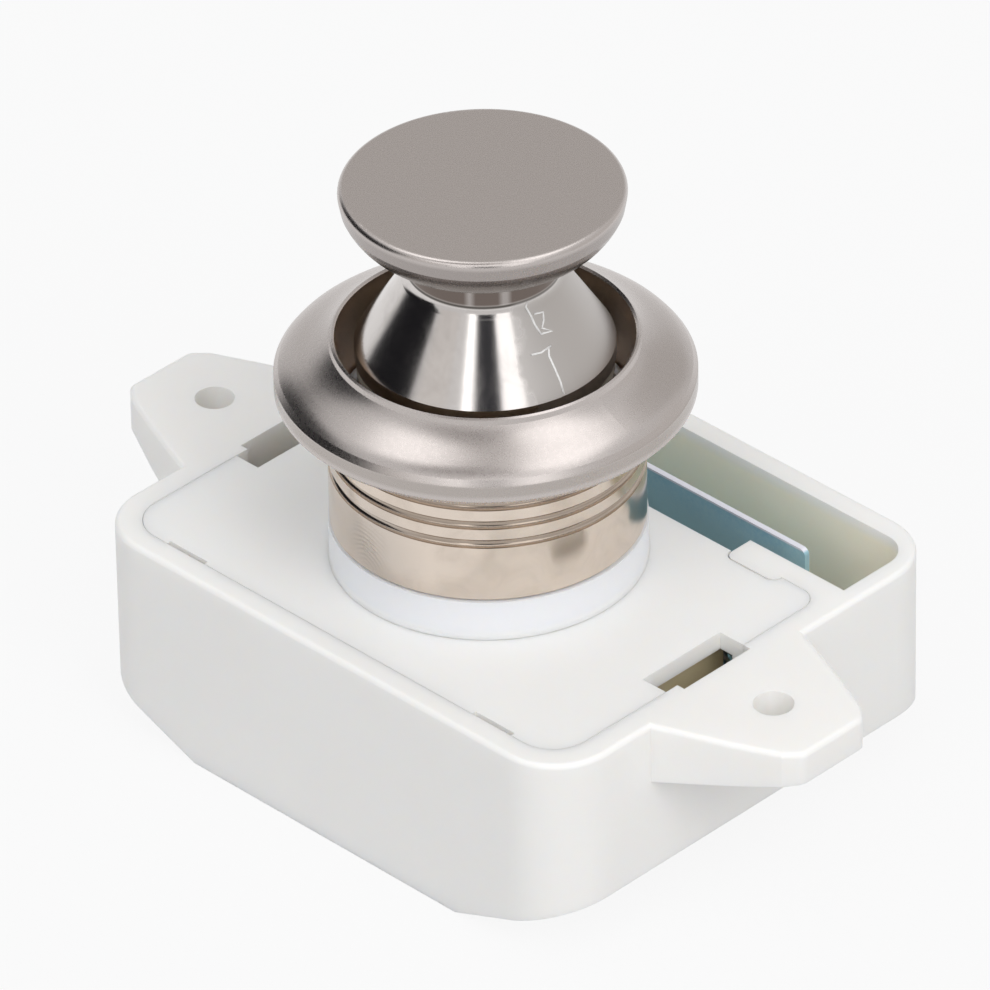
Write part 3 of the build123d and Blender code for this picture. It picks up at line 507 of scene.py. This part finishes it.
def barrel_nickel(name):
    """The rosette's nickel: painted warm reflection inside, painted shade in the grooves and on the
    band, a finger mark.
    """
    finish = nickel(name, COLLAR_SATIN_START, COLLAR_SATIN_SOFT, *COLLAR_COLOURS, COLLAR_ROUGHNESS)
    height = finish.axis("Z")
    # Painted shade in the rolled grooves
    above = finish.maths("SUBTRACT", height, GROOVE_FIRST)
    away = finish.maths("PINGPONG", above, GROOVE_PITCH / 2)
    groove_shade = finish.spread(away, GROOVE_SHADE_SHARE, 0, GROOVE_SHADE_RANGE)
    limits = GROOVE_FIRST - GROOVE_MARGIN, GROOVE_LAST + GROOVE_MARGIN
    finish.tint(finish.times(groove_shade, finish.mask(height, *limits, GROOVE_SOFT)), GROOVE_SHADE_COLOUR)
    # Haze round the finger mark, which is also painted shade on the barrel's bright left front
    finish.tint(finish.times(finish.spot(FINGER_PLACE, HAZE_AND_SHADE_REACH), HAZE_AND_SHADE_SHARE), HAZE_AND_SHADE_COLOUR)
    # Painted darker reflection on the rim's band
    finish.tint(finish.mask(height, *BAND_HEIGHTS, BAND_SOFT), BAND_SHADE_COLOUR)
    rings = finish.spread(finish.rings(RING_PLACE, RING_PITCH), 0, RING_SHARE, RING_RANGE)
    mark = finish.times(finish.spot(FINGER_PLACE, FINGER_REACH), rings)
    finish.tint(mark, FINGER_COLOUR)
    finish.dull(mark, FINGER_ROUGHNESS)
    # Painted warm reflection inside the bore
    squares = [finish.maths("POWER", finish.axis(name), 2) for name in ("X", "Y")]
    across = finish.maths("SQRT", finish.maths("ADD", *squares), 0)
    inside = finish.times(finish.fall(across, BORE_EDGE), finish.fall(height, BORE_TOP))
    finish.tint(inside, BORE_REFLECTION_COLOUR)
    finish.dull(inside, BORE_ROUGHNESS)
    return finish


def filmed_nickel(name):
    """The knob's nickel, with painted shade on its neck and cap, painted highlight streaks on the
    neck, and a dull torn film on the right of its cone.
    """
    finish = nickel(name, KNOB_SATIN_START, KNOB_SATIN_SOFT, *KNOB_COLOURS, KNOB_ROUGHNESS)
    height = finish.axis("Z")
    turn = finish.maths("ARCTAN2", finish.axis("Y"), finish.axis("X"))
    turn = finish.times(turn, HALF_TURN / pi)
    turn = finish.maths("SUBTRACT", turn, CAMERA_AZIMUTH - HALF_TURN / 2)
    # Painted shade on the neck, lighter in two painted highlight streaks
    highlight_streaks = [finish.mask(turn, *limits, HIGHLIGHT_STREAK_SOFT) for limits in HIGHLIGHT_STREAK_TURNS]
    bright = finish.times(finish.maths("ADD", *highlight_streaks), HIGHLIGHT_STREAK_SHARE)
    neck = finish.mask(height, NECK_BOTTOM, NECK_TOP, NECK_SOFT)
    finish.tint(finish.times(neck, finish.maths("SUBTRACT", 1, bright)), NECK_SHADE_COLOUR)
    # Bands of painted shade on the cap's underside and rim side and in the neck's foot
    for low, high, soft, colour in KNOB_SHADE_BANDS:
        finish.tint(finish.mask(height, low, high, soft), colour)
    wavy = finish.maths("ADD", turn, finish.spread(finish.noise(*FILM_WAVE), -FILM_SWAY, FILM_SWAY))
    film = finish.times(finish.rise(wavy, FILM_START), finish.fall(wavy, FILM_END))
    film = finish.times(film, finish.fall(height, FILM_TOP))
    finish.tint(film, FILM_COLOUR)
    finish.dull(film, FILM_ROUGHNESS)
    return finish


def zinc_plate(name):
    """Blue passivated zinc on sheet steel."""
    finish = Finish(name, Metallic=ZINC_METALLIC)
    speckle = finish.spread(finish.noise(*ZINC_SPECKLE), 0, ZINC_SPECKLE_SHARE, ZINC_SPECKLE_RANGE)
    height = finish.axis("Z")
    rise = finish.rise(height, ZINC_RISE)
    cloud = finish.times(finish.spread(finish.noise(*ZINC_CLOUD), *ZINC_CLOUD_RANGE), rise)
    blue = finish.colours(cloud, ZINC_PALE, ZINC_BLUE)
    finish.set("Base Color", finish.colours(speckle, blue, ZINC_SPECK))
    finish.tint(finish.rise(height, ZINC_TOP), ZINC_TOP_COLOUR)
    # Painted olive shade on the plate's sides
    sideways = finish.maths("ABSOLUTE", finish.axis("X"), 0)
    finish.tint(finish.rise(sideways, ZINC_SIDE), ZINC_SIDE_SHADE_COLOUR)
    finish.set("Roughness", finish.spread(finish.noise(*ZINC_SHEEN), *ZINC_ROUGHNESS))
    finish.set("Normal", finish.bump(finish.noise(*ZINC_GRAIN), *ZINC_BUMP))
    return finish


def plain_steel(name, colour, roughness):
    """Drawn or plated steel for the hidden screw, washer, springs and wire."""
    finish = Finish(name, Metallic=1.0)
    streak = finish.spread(finish.noise(*STEEL_STREAK, stretch=STEEL_STRETCH), 0, 1)
    darker = tuple(STEEL_SHADE * part for part in colour)
    finish.set("Base Color", finish.colours(streak, colour, darker))
    finish.set("Roughness", finish.spread(streak, roughness, roughness + STEEL_WEAR, (0, 1)))
    finish.set("Normal", finish.bump(finish.noise(*STEEL_GRAIN), *STEEL_BUMP))
    return finish


def film_edge(name):
    """Crumpled clear film, pale where it catches the light."""
    finish = Finish(name, Roughness=CREASE_ROUGHNESS)
    mottle = finish.spread(finish.noise(*CREASE_NOISE), 0, 1)
    finish.set("Base Color", finish.colours(mottle, *CREASE_COLOURS))
    return finish


def tube(name, path, sides_at, radius, finish):
    """Closed-ended tube through points; sides_at gives two directions across it at a point."""
    vertices, faces = [], []
    for index, centre in enumerate(path):
        across, over = sides_at(index)
        for side in range(WIRE_SIDES):
            angle = tau * side / WIRE_SIDES
            vertices.append(centre + radius * (cos(angle) * across + sin(angle) * over))
    for index in range(len(path) - 1):
        for side in range(WIRE_SIDES):
            a = index * WIRE_SIDES + side
            b = index * WIRE_SIDES + (side + 1) % WIRE_SIDES
            faces.append((a, b, b + WIRE_SIDES, a + WIRE_SIDES))
    last = len(vertices) - WIRE_SIDES
    faces.append(tuple(range(WIRE_SIDES - 1, -1, -1)))
    faces.append(tuple(range(last, last + WIRE_SIDES)))
    mesh = bpy.data.meshes.new(name)
    mesh.from_pydata(vertices, [], faces)
    for face in mesh.polygons:
        face.use_smooth = len(face.vertices) == 4
    mesh.materials.append(finish.material)
    obj = bpy.data.objects.new(name, mesh)
    bpy.context.scene.collection.objects.link(obj)
    return obj


def wound_spring(node, name, joint, axis, wire, turns, finish):
    """Coil with closed ends in the box of a spring's sleeve."""
    low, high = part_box(node)
    along = Vector(axis)
    which = [abs(part) for part in along].index(1)
    out = Vector((1, 0, 0))
    over = along.cross(out)
    middle = (low + high) / 2
    radius = (high.x - low.x) / 2 - wire * MM
    start, end = low[which] + wire * MM, high[which] - wire * MM
    close = 2 * wire * MM
    open_turns = turns - 2 * CLOSED_TURNS
    open_length = end - start - 2 * CLOSED_TURNS * close
    steps = int(turns * STEPS_PER_TURN)
    path = []
    for step in range(steps + 1):
        turned = step / STEPS_PER_TURN
        lower = min(turned, CLOSED_TURNS)
        upper = max(turned - turns + CLOSED_TURNS, 0)
        between = turned - lower - upper
        rise = (lower + upper) * close + between / open_turns * open_length
        point = middle + radius * (cos(tau * turned) * out + sin(tau * turned) * over)
        point[which] = start + rise
        path.append(point)

    def sides_at(index):
        angle = tau * index / STEPS_PER_TURN
        return cos(angle) * out + sin(angle) * over, along

    coil = tube(name, path, sides_at, wire * MM, finish)
    anchor = middle.copy()
    anchor[which] = low[which] if joint == "knob_slide" else high[which]
    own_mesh(coil)
    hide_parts(node)
    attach(coil, "housing")


def crease(name, places, finish):
    """Ridge of crumpled film on the knob's cone."""
    slope = (CONE_BOTTOM_RADIUS - CONE_TOP_RADIUS) / (CONE_TOP - CONE_BOTTOM)
    path, outward = [], []
    for turn, height in places:
        radius = max(CONE_TOP_RADIUS + (CONE_TOP - height) * slope, NECK_RADIUS)
        out = direction(CAMERA_AZIMUTH + turn, 0)
        path.append((radius * out + Vector((0, 0, height))) * MM)
        outward.append((out + Vector((0, 0, slope))).normalized())

    def sides_at(index):
        before, after = path[max(index - 1, 0)], path[min(index + 1, len(path) - 1)]
        return outward[index], (after - before).normalized().cross(outward[index])

    ridge = tube(name, path, sides_at, CREASE_RADIUS * MM, finish)
    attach(ridge, "button")


def seen_share(tree):
    """1 on the camera's rays and on those that reach it by gloss or transmission, 0 on the rest."""
    path = tree.nodes.new("ShaderNodeLightPath")
    share = path.outputs["Is Camera Ray"]
    for kind in ("Is Glossy Ray", "Is Transmission Ray"):
        node = tree.nodes.new("ShaderNodeMath")
        node.operation = "MAXIMUM"
        tree.links.new(share, node.inputs[0])
        tree.links.new(path.outputs[kind], node.inputs[1])
        share = node.outputs["Value"]
    return share


def mix_surface(tree, target, share, first, second):
    """Feeds a mix of two shaders to the output node of that name."""
    mix = tree.nodes.new("ShaderNodeMixShader")
    tree.links.new(share, mix.inputs["Fac"])
    tree.links.new(first, mix.inputs[1])
    tree.links.new(second, mix.inputs[2])
    tree.links.new(mix.outputs["Shader"], tree.nodes[target].inputs["Surface"])


def make_floor():
    """Pale floor, white to the camera and in reflections, that keeps a soft shadow."""
    low, high = -FLOOR_HALF * MM, FLOOR_HALF * MM
    mesh = bpy.data.meshes.new("floor")
    height = FLOOR_HEIGHT * MM
    corners = [(low, low, height), (high, low, height), (high, high, height), (low, high, height)]
    mesh.from_pydata(corners, [], [(0, 1, 2, 3)])
    floor = bpy.data.objects.new("floor", mesh)
    bpy.context.scene.collection.objects.link(floor)
    finish = Finish("floor", Roughness=FLOOR_ROUGHNESS, Base_Color=(*FLOOR_COLOUR, 1))
    tree = finish.tree
    white = tree.nodes.new("ShaderNodeEmission")
    white.inputs["Strength"].default_value = WHITE_STRENGTH
    share = finish.times(seen_share(tree), FLOOR_WHITE_SHARE)
    mix_surface(tree, "Material Output", share,
                finish.shader.outputs["BSDF"], white.outputs["Emission"])
    mesh.materials.append(finish.material)


def make_world():
    """White surroundings for the camera and for reflections, soft grey light for the rest."""
    world = bpy.data.worlds.new("studio")
    world.use_nodes = True
    bpy.context.scene.world = world
    tree = world.node_tree
    light = tree.nodes["Background"]
    light.inputs["Color"].default_value = (*WORLD_COLOUR, 1)
    light.inputs["Strength"].default_value = WORLD_STRENGTH
    white = tree.nodes.new("ShaderNodeBackground")
    white.inputs["Strength"].default_value = WHITE_STRENGTH
    mix_surface(tree, "World Output", seen_share(tree),
                light.outputs["Background"], white.outputs["Background"])


def softbox(name, azimuth, elevation, width, brightness, colour):
    """Area lamp that faces the object from that side; brightness 1 is as bright as white paper."""
    data = bpy.data.lights.new(name, "AREA")
    data.shape = "RECTANGLE"
    data.size = width
    data.size_y = LAMP_HEIGHT
    data.energy = brightness * pi * width * LAMP_HEIGHT
    data.color = colour
    lamp = bpy.data.objects.new(name, data)
    away = direction(azimuth, elevation)
    lamp.location = away * LAMP_DISTANCE
    lamp.rotation_euler = away.to_track_quat("Z", "Y").to_euler()
    lamp.visible_glossy = False
    bpy.context.scene.collection.objects.link(lamp)


def card(name, azimuth, elevation, distance, width, height, glow_colour):
    """Bright, grey or dark studio panel that only reflections see."""
    away = direction(azimuth, elevation)
    turn = away.to_track_quat("Z", "Y").to_matrix().to_4x4()
    corners = [(-width / 2, -height / 2, 0), (width / 2, -height / 2, 0),
               (width / 2, height / 2, 0), (-width / 2, height / 2, 0)]
    mesh = bpy.data.meshes.new(name)
    mesh.from_pydata(corners, [], [(0, 1, 2, 3)])
    panel = bpy.data.objects.new(name, mesh)
    panel.matrix_world = Matrix.Translation(away * distance) @ turn
    bpy.context.scene.collection.objects.link(panel)
    material = bpy.data.materials.new(name)
    material.use_nodes = True
    tree = material.node_tree
    tree.nodes.remove(tree.nodes["Principled BSDF"])
    glow = tree.nodes.new("ShaderNodeEmission")
    glow.inputs["Color"].default_value = (*glow_colour, 1)
    tree.links.new(glow.outputs["Emission"], tree.nodes["Material Output"].inputs["Surface"])
    mesh.materials.append(material)
    panel.visible_camera = False
    panel.visible_diffuse = False
    panel.visible_shadow = False
    panel.visible_transmission = False


make_camera()
make_floor()
make_world()
for lamp in LAMPS:
    softbox(*lamp)
for panel in CARDS:
    card(*panel)

dress("case", case_plastic("case_plastic"))
dress("lid", white_plastic("lid_plastic", *LID_COLOURS))
dress("guide_sleeve", sleeve_plastic("sleeve_plastic"))
dress("plunger", white_plastic("plunger_plastic", *PLUNGER_COLOURS))
dress("collar", barrel_nickel("collar_nickel"))
dress("knob", filmed_nickel("knob_nickel"))
dress("latch_plate", zinc_plate("latch_zinc"))
dress("knob_screw", plain_steel("screw_zinc", *SCREW_STEEL))
dress("screw_washer", plain_steel("washer_steel", *WASHER_STEEL))
dress("follower_wire", plain_steel("wire_steel", *WIRE_STEEL))

spring_steel = plain_steel("spring_steel", *SPRING_STEEL)
for spring in ("main_spring", "latch_spring_left", "latch_spring_right"):
    dress(spring, spring_steel)
wound_spring("main_spring", "main_coil", "knob_slide", (0, 0, 1),
             MAIN_WIRE, MAIN_TURNS, spring_steel)
for hand in ("left", "right"):
    wound_spring(f"latch_spring_{hand}", f"{hand}_coil", "latch_slide", (0, 1, 0),
                 RETURN_WIRE, RETURN_TURNS, spring_steel)
film = film_edge("film_edge")
for number, places in enumerate(CREASES):
    crease(f"crease_{number + 1}", places, film)

bpy.context.scene.view_settings.view_transform = "Standard"
